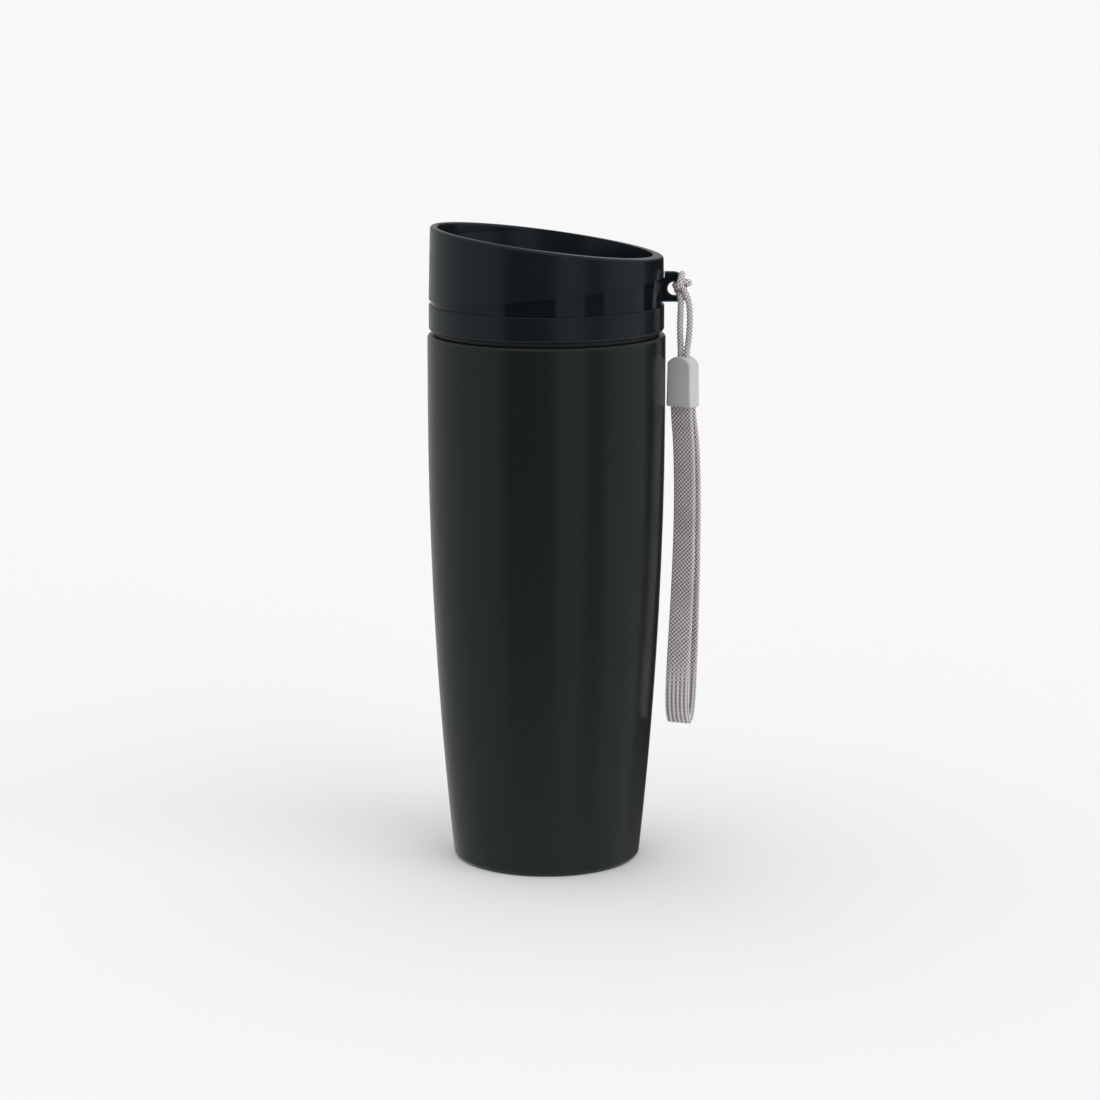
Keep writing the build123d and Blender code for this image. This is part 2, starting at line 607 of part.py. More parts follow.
with BuildPart() as click_cam:
    with BuildSketch(Plane.XY.offset(CAM_Z)):
        Circle(CAM_RADIUS)
        Circle(STEM_BORE, mode=Mode.SUBTRACT)
    extrude(amount=CAM_HEIGHT)
    with BuildSketch(Plane.XY.offset(CAM_Z + CAM_HEIGHT)):
        with PolarLocations(CAM_TOOTH_RADIUS, CAM_TEETH):
            Rectangle(1.4, TOOTH_WIDTH)
    extrude(amount=TOOTH_HEIGHT)
click_cam.part.label = "click_cam"
export_step(click_cam.part, "parts/click_cam.step")

with BuildPart() as cam_guide:
    guide_z = HUB_Z + GUIDE_LIFT
    with BuildSketch(Plane.XY.offset(guide_z)):
        Circle(GUIDE_RADIUS)
        Circle(GUIDE_BORE, mode=Mode.SUBTRACT)
    extrude(amount=GUIDE_TOP_Z - guide_z)
    with BuildSketch(Plane.XY.offset(GUIDE_TOP_Z)):
        Circle(GUIDE_ROOF_RADIUS)
        Circle(GUIDE_ROOF_BORE, mode=Mode.SUBTRACT)
    extrude(amount=-GUIDE_ROOF)
    with BuildSketch(Plane.XY.offset(GUIDE_TOP_Z - GUIDE_ROOF)):
        with PolarLocations(GUIDE_TOOTH_RADIUS, CAM_TEETH, start_angle=180 / CAM_TEETH):
            Rectangle(1.9, TOOTH_WIDTH)
    extrude(amount=-TOOTH_HEIGHT)
cam_guide.part.label = "cam_guide"
export_step(cam_guide.part, "parts/cam_guide.step")

with BuildPart() as stem_seal:
    with BuildSketch(Plane.XY.offset(SEAL_Z)):
        Circle(SEAL_RADIUS)
        Circle(STEM_RADIUS + 0.05, mode=Mode.SUBTRACT)
    extrude(amount=DECK_Z - SEAL_Z)
stem_seal.part.label = "stem_seal"
export_step(stem_seal.part, "parts/stem_seal.step")

with BuildPart() as return_spring:
    spring_low_z = DECK_Z + SPRING_WIRE / 2
    spring_rise = BUTTON_BOSS_Z - DECK_Z - SPRING_WIRE
    with BuildLine(Plane(origin=(0, 0, spring_low_z))) as coil:
        Helix(pitch=spring_rise / SPRING_TURNS, height=spring_rise, radius=SPRING_RADIUS)
    with BuildSketch(Plane(origin=coil.line @ 0, z_dir=coil.line % 0)):
        Circle(SPRING_WIRE / 2)
    sweep(path=coil.line, is_frenet=True)
return_spring.part.label = "return_spring"
export_step(return_spring.part, "parts/return_spring.step")

# ---------------------------------------------------------------- wrist lanyard
# The cord's route: up from the cap, over the tab's edge at the top, twice through its hole, and down.
CORD_ROUTE = [
    (42.25, -2.65, CORD_IN_CAP_Z),
    (42.25, -2.65, 163.6),
    (41.60, -2.80, 170.2),
    (41.20, -3.10, 176.0),
    (41.25, -3.95, 180.05),
    (40.55, -5.05, 182.15),
    (40.35, -5.35, 184.75),
    (41.15, -4.45, 187.25),
    (42.30, -2.70, 188.60),
    (42.95, 0.20, 189.20),
    (42.60, 2.75, 188.15),
    (41.35, 3.30, 185.75),
    (40.40, 1.70, 184.25),
    (40.25, -1.10, 184.15),
    (41.25, -2.95, 184.95),
    (43.70, -3.00, 185.65),
    (45.20, -1.90, 186.10),
    (45.55, 0.80, 186.10),
    (44.45, 2.90, 185.25),
    (42.50, 3.15, 183.35),
    (40.70, 1.70, 182.15),
    (40.40, -0.90, 182.15),
    (41.25, -2.80, 182.55),
    (42.10, -4.70, 183.65),
    (43.70, -5.50, 183.90),
    (45.00, -5.20, 182.35),
    (45.15, -4.20, 179.15),
    (44.95, -3.60, 174.40),
    (44.75, -3.40, 169.40),
    (43.95, -3.85, 163.4),
    (43.95, -3.85, CORD_IN_CAP_Z),
]

with BuildPart() as cord_loop:
    with BuildLine() as cord_path:
        FilletPolyline(*CORD_ROUTE, radius=corner_radii(CORD_ROUTE))
    with BuildSketch(Plane(origin=cord_path.line @ 0, z_dir=cord_path.line % 0)):
        Circle(CORD_DIAMETER / 2)
    sweep(path=cord_path.line)
cord_loop.part.label = "cord_loop"
export_step(cord_loop.part, "parts/cord_loop.step")

# The lanyard's own planes: across the strap, and along its loop.
width_dir = Vector(1, 0, 0).rotate(Axis.Z, LANYARD_YAW)
depth_dir = Vector(0, 1, 0).rotate(Axis.Z, LANYARD_YAW)
lanyard_axis = Vector(LANYARD_X, LANYARD_Y, 0)
cap_front = Plane(origin=lanyard_axis, x_dir=width_dir, z_dir=depth_dir * -1)
cap_top = Plane(origin=lanyard_axis, x_dir=width_dir, z_dir=(0, 0, 1))
loop_side = Plane(origin=lanyard_axis, x_dir=depth_dir, z_dir=width_dir)

with BuildPart() as cord_cap:
    with BuildSketch(cap_front):
        with BuildLine():
            low = CAP_WIDTH / 2
            shoulder = low - CAP_DRAFT
            Polyline((-shoulder, CAP_SHOULDER_Z), (-low, CAP_LOW_Z), (low, CAP_LOW_Z), (shoulder, CAP_SHOULDER_Z))
            ThreePointArc((shoulder, CAP_SHOULDER_Z), (0, CAP_TOP_Z), (-shoulder, CAP_SHOULDER_Z))
        make_face()
    extrude(amount=CAP_DEPTH / 2, both=True)
    fillet(cord_cap.edges().filter_by(lambda edge: edge.center().Z > CAP_LOW_Z + 0.1), CAP_ROUND)
    fillet(cord_cap.edges().group_by(Axis.Z)[0], CAP_LOW_ROUND)
    with BuildSketch(cap_top.offset(CAP_LOW_Z)):
        Rectangle(CAP_SLOT_WIDTH, CAP_SLOT_DEPTH)
    extrude(amount=CAP_SLOT_Z - CAP_LOW_Z, mode=Mode.SUBTRACT)
    for end in (CORD_ROUTE[0], CORD_ROUTE[-1]):
        with BuildSketch(Plane.XY.offset(CORD_IN_CAP_Z)):
            with Locations((end[0], end[1])):
                Circle(CORD_DIAMETER / 2 + CAP_HOLE_GAP)
        extrude(amount=CAP_TOP_Z - CORD_IN_CAP_Z + 1, mode=Mode.SUBTRACT)
cord_cap.part.label = "cord_cap"
export_step(cord_cap.part, "parts/cord_cap.step")

# The strap's route in the plane of its loop: depth, height.
STRAP_ROUTE = [
    (-0.92, STRAP_END_Z),
    (-1.00, 144.5),
    (-1.60, 135.0),
    (-2.40, 118.0),
    (-3.20, 97.0),
    (-3.80, 76.0),
    (-4.20, 59.0),
    (-3.60, 49.0),
    (-1.60, 43.4),
    (1.60, 43.4),
    (3.60, 49.0),
    (4.10, 60.0),
    (3.50, 77.0),
    (2.90, 98.0),
    (2.20, 119.0),
    (1.50, 136.0),
    (1.00, 145.0),
    (0.92, STRAP_END_Z),
]

with BuildPart() as strap:
    with BuildLine(loop_side) as strap_path:
        FilletPolyline(*STRAP_ROUTE, radius=corner_radii(STRAP_ROUTE))
    with BuildSketch(Plane(origin=strap_path.line @ 0, x_dir=width_dir, z_dir=strap_path.line % 0)):
        Rectangle(STRAP_WIDTH, STRAP_THICKNESS)
    sweep(path=strap_path.line)
strap.part.label = "strap"
export_step(strap.part, "parts/strap.step")

cord_volume = pi * CORD_DIAMETER**2 / 4 * cord_path.wire().length
strap_volume = STRAP_WIDTH * STRAP_THICKNESS * strap_path.wire().length
print("cord length", round(cord_path.wire().length, 1), "volume ratio", round(cord_loop.part.volume / cord_volume, 4))
print("cord radii", [round(radius, 1) for radius in corner_radii(CORD_ROUTE)])
print("strap length", round(strap_path.wire().length, 1), "volume ratio", round(strap.part.volume / strap_volume, 4))
print("strap radii", [round(radius, 1) for radius in corner_radii(STRAP_ROUTE)])
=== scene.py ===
"""The looks of the insulated travel mug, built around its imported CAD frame.

Metres, +Z up.  The mug stands on z = 0 and the lanyard's tab points along +X.
"""
import math

import bpy
import numpy as np
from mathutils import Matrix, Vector


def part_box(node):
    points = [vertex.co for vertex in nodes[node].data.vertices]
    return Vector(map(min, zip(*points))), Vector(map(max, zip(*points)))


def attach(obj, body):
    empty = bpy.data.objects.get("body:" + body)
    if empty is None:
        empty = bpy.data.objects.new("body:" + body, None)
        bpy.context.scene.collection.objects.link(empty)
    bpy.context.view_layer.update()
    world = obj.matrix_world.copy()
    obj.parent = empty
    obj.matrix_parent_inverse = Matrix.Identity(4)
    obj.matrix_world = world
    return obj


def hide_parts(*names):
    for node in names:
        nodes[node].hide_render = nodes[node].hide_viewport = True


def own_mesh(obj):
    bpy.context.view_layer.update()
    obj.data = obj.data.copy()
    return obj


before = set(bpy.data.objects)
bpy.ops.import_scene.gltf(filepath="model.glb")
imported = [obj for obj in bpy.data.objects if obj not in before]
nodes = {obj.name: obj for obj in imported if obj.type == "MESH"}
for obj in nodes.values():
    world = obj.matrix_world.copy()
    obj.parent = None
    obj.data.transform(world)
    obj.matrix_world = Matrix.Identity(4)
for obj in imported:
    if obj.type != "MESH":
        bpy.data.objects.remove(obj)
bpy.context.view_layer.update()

# ---------------------------------------------------------------- camera
CAMERA_DISTANCE = 1.0018
CAMERA_HEIGHT = 0.2969
CAMERA_SIDE = 0.0011        # the mug stands a little left of the middle of the picture
CAMERA_PITCH = 11.151       # degrees below the horizon
SENSOR = 36.0               # millimetres
LENS = 104.82

# ---------------------------------------------------------------- lanyard
CORD_DIAMETER = 0.0019
CORD_COLUMNS = 10           # columns of stitches round the cord
CORD_STITCH = 0.00115       # length of a stitch along the cord
CORD_RELIEF = 0.00026
CORD_SHARE_OUT = 0.5        # the share of the relief that stands out past the cord's own radius
STRAP_WIDTH = 0.0080
STRAP_THICKNESS = 0.0017
STRAP_COLUMNS = 26
STRAP_STITCH = 0.00135
STRAP_RELIEF = 0.00034
CORD_RINGS = 8              # rings of vertices in a stitch, and vertices in a column
CORD_SIDES = 8
STRAP_RINGS = 7
STRAP_SIDES = 5
LANYARD_X = 0.0429          # the strap's loop hangs on this upright axis
LANYARD_Y = -0.00325
CAP_YAW = -35.0             # degrees that the strap is turned where it leaves the cap
FOLD_YAW = -20.0            # and at its lower fold
UNTWIST_LOW = 0.045         # the strap untwists between these heights
UNTWIST_HIGH = 0.122
RIBBED_LOW = 0.0510         # the strap's stitches turn to ribs between these heights
RIBBED_HIGH = 0.0680

# Up from the cap, through the tab's hole, over its edge at the top, back through the hole, over its edge
# on the right, and down into the cap.
CORD_ROUTE = [
    (0.04225, -0.00265, 0.1576),
    (0.04220, -0.00265, 0.1636),
    (0.04195, -0.00280, 0.1685),
    (0.04190, -0.00300, 0.1725),
    (0.04205, -0.00310, 0.1770),
    (0.04205, -0.00300, 0.1802),
    (0.04165, -0.00230, 0.1819),
    (0.04110, -0.00060, 0.1824),
    (0.04095, 0.00130, 0.1828),
    (0.04130, 0.00270, 0.1842),
    (0.04190, 0.00270, 0.1858),
    (0.04240, 0.00180, 0.1872),
    (0.04260, 0.00010, 0.1878),
    (0.04240, -0.00190, 0.1875),
    (0.04200, -0.00350, 0.1865),
    (0.04165, -0.00430, 0.1852),
    (0.04115, -0.00390, 0.1842),
    (0.04070, -0.00200, 0.1838),
    (0.04045, 0.00020, 0.1840),
    (0.04060, 0.00240, 0.1841),
    (0.04150, 0.00420, 0.1841),
    (0.04290, 0.00440, 0.1841),
    (0.04400, 0.00340, 0.1842),
    (0.04465, 0.00170, 0.1845),
    (0.04475, -0.00030, 0.1849),
    (0.04425, -0.00210, 0.1853),
    (0.04350, -0.00260, 0.1856),
    (0.04260, -0.00250, 0.1856),
    (0.04195, -0.00250, 0.1850),
    (0.04205, -0.00270, 0.1842),
    (0.04280, -0.00320, 0.1833),
    (0.04355, -0.00340, 0.1819),
    (0.04425, -0.00340, 0.1802),
    (0.04475, -0.00340, 0.1778),
    (0.04495, -0.00340, 0.1750),
    (0.04490, -0.00340, 0.1710),
    (0.04455, -0.00350, 0.1670),
    (0.04400, -0.00385, 0.1632),
    (0.04395, -0.00385, 0.1576),
]

# The strap's loop: how far it is pushed towards +X, its depth in the loop, and its height.
STRAP_ROUTE = [
    (0.0000, -0.00092, 0.1522),
    (0.0001, -0.00100, 0.1445),
    (0.0013, -0.00150, 0.1350),
    (0.0018, -0.00165, 0.1180),
    (0.0016, -0.00190, 0.0970),
    (0.0009, -0.00270, 0.0760),
    (0.0003, -0.00400, 0.0590),
    (0.0000, -0.00370, 0.0498),
    (0.0000, -0.00160, 0.0443),
    (0.0000, 0.00160, 0.0443),
    (0.0000, 0.00370, 0.0498),
    (0.0003, 0.00400, 0.0600),
    (0.0009, 0.00280, 0.0770),
    (0.0016, 0.00190, 0.0980),
    (0.0018, 0.00160, 0.1190),
    (0.0012, 0.00150, 0.1360),
    (0.0001, 0.00100, 0.1450),
    (0.0000, 0.00092, 0.1522),
]


def spline_line(route):
    """Points along the smooth line that has the route's points as its control points."""
    data = bpy.data.curves.new("route", "CURVE")
    data.dimensions = "3D"
    data.resolution_u = 24
    spline = data.splines.new("NURBS")
    spline.points.add(len(route) - 1)
    for point, place in zip(spline.points, route):
        point.co = (*place, 1.0)
    spline.order_u = 3
    spline.use_endpoint_u = True
    holder = bpy.data.objects.new("route", data)
    bpy.context.scene.collection.objects.link(holder)
    bpy.context.view_layer.update()
    mesh = bpy.data.meshes.new_from_object(holder)
    points = np.array([vertex.co for vertex in mesh.vertices])
    bpy.data.objects.remove(holder)
    bpy.data.meshes.remove(mesh)
    return points


def spaced(points, step):
    """The same line with its points step apart, and each point's distance along it."""
    runs = np.linalg.norm(np.diff(points, axis=0), axis=1)
    along = np.concatenate([[0.0], np.cumsum(runs)])
    at = np.linspace(0.0, along[-1], round(along[-1] / step) + 1)
    line = np.stack([np.interp(at, along, points[:, axis]) for axis in range(3)], axis=1)
    return line, at


def unit(vectors):
    """Vectors scaled to length one."""
    return vectors / np.linalg.norm(vectors, axis=-1, keepdims=True)


def carried_sides(line):
    """A direction square to the line at each point, carried along it with no twist."""
    tangents = unit(np.gradient(line, axis=0))
    side = np.cross(tangents[0], (0.0, 1.0, 0.0))
    sides = []
    for tangent in tangents:
        side = side - tangent * side.dot(tangent)
        side = side / np.linalg.norm(side)
        sides.append(side)
    return np.array(sides)


def stitches(column, along, ribbed):
    """Height, 0 to 1, of a braid's surface: staggered stitches that turn to ribs where it is ribbed."""
    across = np.cos(math.pi * column)
    steps = np.cos(2.0 * math.pi * along)
    checks = 0.5 + 0.5 * across * steps
    ribs = 0.58 + 0.30 * across + 0.12 * across * steps
    return checks * (1.0 - ribbed) + ribs * ribbed


def round_outline(count, radius):
    """Points and outward directions round a circle."""
    angles = np.arange(count) * 2.0 * math.pi / count
    outward = np.stack([np.cos(angles), np.sin(angles)], axis=1)
    return outward * radius, outward


def strap_outline(count, width, thickness):
    """Points and outward directions, evenly spaced round a flat section with round edges."""
    radius = thickness / 2.0
    flat = width - thickness
    turn = math.pi * radius
    points = []
    outward = []
    for step in range(count):
        place = (step + 0.5) / count * 2.0 * (flat + turn)
        facing = 1.0
        if place >= flat + turn:
            place -= flat + turn
            facing = -1.0
        if place < flat:
            direction = np.array([0.0, 1.0])
            centre = np.array([flat / 2.0 - place, 0.0])
        else:
            angle = math.pi / 2.0 + (place - flat) / radius
            direction = np.array([math.cos(angle), math.sin(angle)])
            centre = np.array([-flat / 2.0, 0.0])
        points.append(facing * (centre + direction * radius))
        outward.append(facing * direction)
    return np.array(points), np.array(outward)


def swept(name, line, along, sides, outline, outward, columns, stitch, relief, ribbed=0.0):
    """A braided tube along a line: its section carries columns of stitches."""
    tangents = unit(np.gradient(line, axis=0))
    sides = unit(sides - tangents * np.sum(sides * tangents, axis=1, keepdims=True))
    depths = np.cross(tangents, sides)
    rings = len(line)
    count = len(outline)
    column = (np.arange(count) + 0.5) / count * columns
    height = stitches(column[None, :], (along / stitch)[:, None], ribbed)
    sunk = (height - 1.0) * relief
    across = outline[None, :, 0] + outward[None, :, 0] * sunk
    deep = outline[None, :, 1] + outward[None, :, 1] * sunk
    places = line[:, None, :] + sides[:, None, :] * across[:, :, None]
    places = places + depths[:, None, :] * deep[:, :, None]
    first = (np.arange(rings - 1) * count)[:, None] + np.arange(count)[None, :]
    second = (np.arange(rings - 1) * count)[:, None] + (np.arange(count)[None, :] + 1) % count
    quads = np.stack([first, second, second + count, first + count], axis=2).reshape(-1, 4)
    faces = quads.tolist()
    faces.append(list(range(count - 1, -1, -1)))
    faces.append(list(range((rings - 1) * count, rings * count)))
    mesh = bpy.data.meshes.new(name)
    mesh.from_pydata(places.reshape(-1, 3).tolist(), [], faces)
    mesh.shade_smooth()
    # The stitch heights, kept for the braid's material, which paints shade between the stitches from them.
    shade = mesh.attributes.new("relief", "FLOAT", "POINT")
    shade.data.foreach_set("value", height.reshape(-1).astype(np.float32))
    piece = bpy.data.objects.new(name, mesh)
    bpy.context.scene.collection.objects.link(piece)
    return piece


def eased(value, start, end):
    """0 at start, 1 at end, and smooth in between."""
    share = np.clip((value - start) / (end - start), 0.0, 1.0)
    return share * share * (3.0 - 2.0 * share)


def strap_yaw(height):
    """How far the strap is turned about +Z at a height, in radians."""
    return np.radians(FOLD_YAW + (CAP_YAW - FOLD_YAW) * eased(height, UNTWIST_LOW, UNTWIST_HIGH))


def fold_share(height):
    """1 near the strap's lower fold, where its stitches are pulled into ribs, 0 above it."""
    return eased(height, RIBBED_HIGH, RIBBED_LOW)


def strap_place(push, depth, height):
    """A point of the strap's route in the mug's frame."""
    yaw = strap_yaw(height)
    return (LANYARD_X + push - depth * math.sin(yaw), LANYARD_Y + depth * math.cos(yaw), height)


def make_cord():
    line, along = spaced(spline_line(CORD_ROUTE), CORD_STITCH / CORD_RINGS)
    radius = CORD_DIAMETER / 2 + CORD_RELIEF * CORD_SHARE_OUT
    outline, outward = round_outline(CORD_COLUMNS * CORD_SIDES, radius)
    piece = swept("lanyard_cord", line, along, carried_sides(line), outline, outward,
                  CORD_COLUMNS, CORD_STITCH, CORD_RELIEF)
    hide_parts("cord_loop")
    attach(piece, "lanyard")
    return piece


def make_strap():
    route = [strap_place(*point) for point in STRAP_ROUTE]
    line, along = spaced(spline_line(route), STRAP_STITCH / STRAP_RINGS)
    outline, outward = strap_outline(STRAP_COLUMNS * STRAP_SIDES, STRAP_WIDTH, STRAP_THICKNESS)
    yaw = strap_yaw(line[:, 2])
    sides = np.stack([np.cos(yaw), np.sin(yaw), np.zeros(len(yaw))], axis=1)
    piece = swept("lanyard_strap", line, along, sides, outline, outward,
                  STRAP_COLUMNS, STRAP_STITCH, STRAP_RELIEF, fold_share(line[:, 2])[:, None])
    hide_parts("strap")
    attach(piece, "lanyard")
    return piece


def make_spring():
    """The return spring with closed ends."""
    low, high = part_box("return_spring")
    wire = 0.0004
    radius = (high.x - low.x) / 2 - wire
    turns = 5.0
    steps = 260
    closed = 0.14
    share = np.linspace(0.0, 1.0, steps)
    rise = np.clip((share - closed) / (1.0 - 2.0 * closed), 0.0, 1.0)
    angles = share * turns * 2.0 * math.pi
    height = low.z + wire + rise * (high.z - low.z - 2.0 * wire)
    line = np.stack([radius * np.cos(angles), radius * np.sin(angles), height], axis=1)
    outline, outward = round_outline(12, wire)
    piece = swept("coil_spring", line, share, carried_sides(line), outline, outward, 12, 1.0, 0.0)
    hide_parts("return_spring")
    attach(piece, "lid")
    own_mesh(piece)
    return piece


# ---------------------------------------------------------------- materials
def new_material(name):
    """A material with its node tree and its shader."""
    material = bpy.data.materials.new(name)
    material.use_nodes = True
    tree = material.node_tree
    return material, tree, tree.nodes["Principled BSDF"]


def placed(tree, stretch=(1.0, 1.0, 1.0)):
    """The object's own coordinates, stretched."""
    coordinates = tree.nodes.new("ShaderNodeTexCoord")
    mapping = tree.nodes.new("ShaderNodeMapping")
    mapping.inputs["Scale"].default_value = stretch
    tree.links.new(coordinates.outputs["Object"], mapping.inputs["Vector"])
    return mapping.outputs["Vector"]


def noise(tree, vector, scale, detail=3.0, roughness=0.5):
    """A noise pattern, 0 to 1."""
    node = tree.nodes.new("ShaderNodeTexNoise")
    node.inputs["Scale"].default_value = scale
    node.inputs["Detail"].default_value = detail
    node.inputs["Roughness"].default_value = roughness
    tree.links.new(vector, node.inputs["Vector"])
    return node.outputs["Fac"]


def spread(tree, value, low, high):
    """A pattern's middle part, 0.3 to 0.7, spread from low to high."""
    node = tree.nodes.new("ShaderNodeMapRange")
    node.inputs["From Min"].default_value = 0.3
    node.inputs["From Max"].default_value = 0.7
    node.inputs["To Min"].default_value = low
    node.inputs["To Max"].default_value = high
    tree.links.new(value, node.inputs["Value"])
    return node.outputs["Result"]


def between(tree, share, first, second):
    """A colour between two, by a pattern."""
    node = tree.nodes.new("ShaderNodeMix")
    node.data_type = "RGBA"
    node.inputs["A"].default_value = (*first, 1.0)
    node.inputs["B"].default_value = (*second, 1.0)
    tree.links.new(share, node.inputs["Factor"])
    return node.outputs["Result"]


def bump(tree, shader, height, strength, distance):
    """Small relief on the shader's surface."""
    node = tree.nodes.new("ShaderNodeBump")
    node.inputs["Strength"].default_value = strength
    node.inputs["Distance"].default_value = distance
    tree.links.new(height, node.inputs["Height"])
    tree.links.new(node.outputs["Normal"], shader.inputs["Normal"])


def moulded(name, dark, light, roughness, grain, relief, sheen=(1.0, 1.0, 1.0)):
    """Moulded plastic or rubber: a fine grain, and small changes of tone and gloss."""
    material, tree, shader = new_material(name)
    vector = placed(tree)
    tone = spread(tree, noise(tree, vector, 45.0), 0.0, 1.0)
    tree.links.new(between(tree, tone, dark, light), shader.inputs["Base Color"])
    gloss = spread(tree, noise(tree, vector, 110.0, 4.0), roughness - 0.03, roughness + 0.04)
    tree.links.new(gloss, shader.inputs["Roughness"])
    shader.inputs["Specular Tint"].default_value = (*sheen, 1.0)
    bump(tree, shader, noise(tree, vector, grain, 2.0), relief, 0.00004)
    return material


def painted():
    """Dark green-black satin paint with a trace of fine flake and orange peel."""
    material, tree, shader = new_material("painted_shell")
    vector = placed(tree)
    tone = spread(tree, noise(tree, vector, 1600.0, 2.0), 0.0, 1.0)
    tree.links.new(between(tree, tone, (0.0078, 0.0106, 0.0098), (0.0104, 0.0138, 0.0128)),
                   shader.inputs["Base Color"])
    gloss = spread(tree, noise(tree, vector, 60.0, 4.0), 0.21, 0.26)
    tree.links.new(gloss, shader.inputs["Roughness"])
    shader.inputs["Specular Tint"].default_value = (0.84, 1.00, 0.88, 1.0)
    bump(tree, shader, noise(tree, vector, 700.0, 2.0), 0.05, 0.00004)
    return material


def turned_steel(name, tone, roughness, stretch, scale):
    """Steel with the fine marks of spinning or drawing, drawn out along its surface."""
    material, tree, shader = new_material(name)
    vector = placed(tree, stretch)
    marks = noise(tree, vector, scale, 5.0, 0.65)
    light = tuple(channel * 1.08 for channel in tone)
    dark = tuple(channel * 0.86 for channel in tone)
    tree.links.new(between(tree, spread(tree, marks, 0.0, 1.0), dark, light), shader.inputs["Base Color"])
    tree.links.new(spread(tree, marks, roughness - 0.05, roughness + 0.07), shader.inputs["Roughness"])
    shader.inputs["Metallic"].default_value = 1.0
    bump(tree, shader, marks, 0.12, 0.00003)
    return material


def soft_clear(name):
    """Pale milky silicone."""
    material, tree, shader = new_material(name)
    vector = placed(tree)
    cloud = spread(tree, noise(tree, vector, 80.0, 3.0), 0.0, 1.0)
    tree.links.new(between(tree, cloud, (0.50, 0.51, 0.50), (0.58, 0.59, 0.58)), shader.inputs["Base Color"])
    tree.links.new(spread(tree, noise(tree, vector, 300.0), 0.38, 0.50), shader.inputs["Roughness"])
    shader.inputs["Subsurface Weight"].default_value = 0.35
    shader.inputs["Subsurface Radius"].default_value = (0.0012, 0.0012, 0.0011)
    shader.inputs["Subsurface Scale"].default_value = 1.0
    bump(tree, shader, noise(tree, vector, 900.0, 2.0), 0.08, 0.00004)
    return material


def braided(name, crest, valley_shade):
    """Spun polyester yarn with fine fibres over its stitches; its colour is darkened between the stitches as
    painted shade.
    """
    material, tree, shader = new_material(name)
    relief = tree.nodes.new("ShaderNodeAttribute")
    relief.attribute_name = "relief"
    # Painted shade: low stitch heights take the dark valley colour, and high ones take the yarn's own
    # colour.
    ramp = tree.nodes.new("ShaderNodeMapRange")
    ramp.inputs["From Min"].default_value = 0.22
    ramp.inputs["From Max"].default_value = 0.68
    tree.links.new(relief.outputs["Fac"], ramp.inputs["Value"])
    vector = placed(tree)
    fibre = spread(tree, noise(tree, vector, 5200.0, 2.0), -0.14, 0.14)
    soiled = spread(tree, noise(tree, vector, 90.0, 3.0), -0.10, 0.08)
    fibres = tree.nodes.new("ShaderNodeMath")
    fibres.operation = "ADD"
    tree.links.new(fibre, fibres.inputs[0])
    tree.links.new(soiled, fibres.inputs[1])
    share = tree.nodes.new("ShaderNodeMath")
    share.operation = "ADD"
    share.use_clamp = True
    tree.links.new(ramp.outputs["Result"], share.inputs[0])
    tree.links.new(fibres.outputs["Value"], share.inputs[1])
    tree.links.new(between(tree, share.outputs["Value"], valley_shade, crest), shader.inputs["Base Color"])
    tree.links.new(spread(tree, noise(tree, vector, 700.0), 0.52, 0.70), shader.inputs["Roughness"])
    shader.inputs["Sheen Weight"].default_value = 0.25
    shader.inputs["Sheen Roughness"].default_value = 0.4
    shader.inputs["Specular IOR Level"].default_value = 0.4
    bump(tree, shader, noise(tree, vector, 6000.0, 2.0), 0.25, 0.00004)
    return material


COOL_SHEEN = (0.80, 0.96, 1.00)         # the black plastics shine slightly blue-green
SATIN_BLACK = moulded("satin_black", (0.0050, 0.0066, 0.0092), (0.0070, 0.0090, 0.0120), 0.25, 1900.0, 0.06,
                      COOL_SHEEN)
GLOSS_BLACK = moulded("gloss_black", (0.0036, 0.0050, 0.0064), (0.0052, 0.0068, 0.0084), 0.07, 500.0, 0.015,
                      COOL_SHEEN)
INNER_BLACK = moulded("inner_plastic", (0.016, 0.017, 0.019), (0.022, 0.023, 0.025), 0.42, 1500.0, 0.10)
ACETAL = moulded("acetal", (0.56, 0.56, 0.53), (0.64, 0.64, 0.61), 0.32, 900.0, 0.06)
CAP_GREY = moulded("cap_plastic", (0.600, 0.575, 0.570), (0.650, 0.628, 0.625), 0.36, 1700.0, 0.10)
RUBBER = moulded("silicone", (0.024, 0.024, 0.026), (0.036, 0.036, 0.038), 0.70, 1100.0, 0.30)
CLEAR_RUBBER = soft_clear("silicone_clear")
STEEL = turned_steel("steel", (0.56, 0.56, 0.55), 0.26, (0.15, 0.15, 1.0), 2600.0)
BRIGHT_WIRE = turned_steel("bright_wire", (0.62, 0.62, 0.61), 0.17, (1.0, 1.0, 1.0), 1200.0)
GETTER_METAL = turned_steel("getter_metal", (0.46, 0.46, 0.47), 0.48, (1.0, 1.0, 1.0), 900.0)
SEAL_GLASS = moulded("seal_glass", (0.20, 0.22, 0.25), (0.26, 0.28, 0.31), 0.12, 600.0, 0.05)
# The yarn's colour over the stitches, then a dark colour painted as shade between them.
BRAID = braided("cord_fabric", (0.800, 0.755, 0.790), (0.165, 0.132, 0.142))

CAD_MATERIALS = {
    "outer_shell": painted(),
    "inner_liner": STEEL,
    "base_plate": STEEL,
    "base_pad": RUBBER,
    "vacuum_seal": SEAL_GLASS,
    "getter": GETTER_METAL,
    "lid_core": INNER_BLACK,
    "lid_gasket": CLEAR_RUBBER,
    "lid_ring": SATIN_BLACK,
    "strap_ring": GLOSS_BLACK,
    "drinking_collar": SATIN_BLACK,
    "collar_seal": CLEAR_RUBBER,
    "button": SATIN_BLACK,
    "stem": ACETAL,
    "valve_disc": INNER_BLACK,
    "valve_gasket": CLEAR_RUBBER,
    "valve_screw": BRIGHT_WIRE,
    "click_cam": ACETAL,
    "cam_guide": ACETAL,
    "stem_seal": CLEAR_RUBBER,
    "cord_cap": CAP_GREY,
}


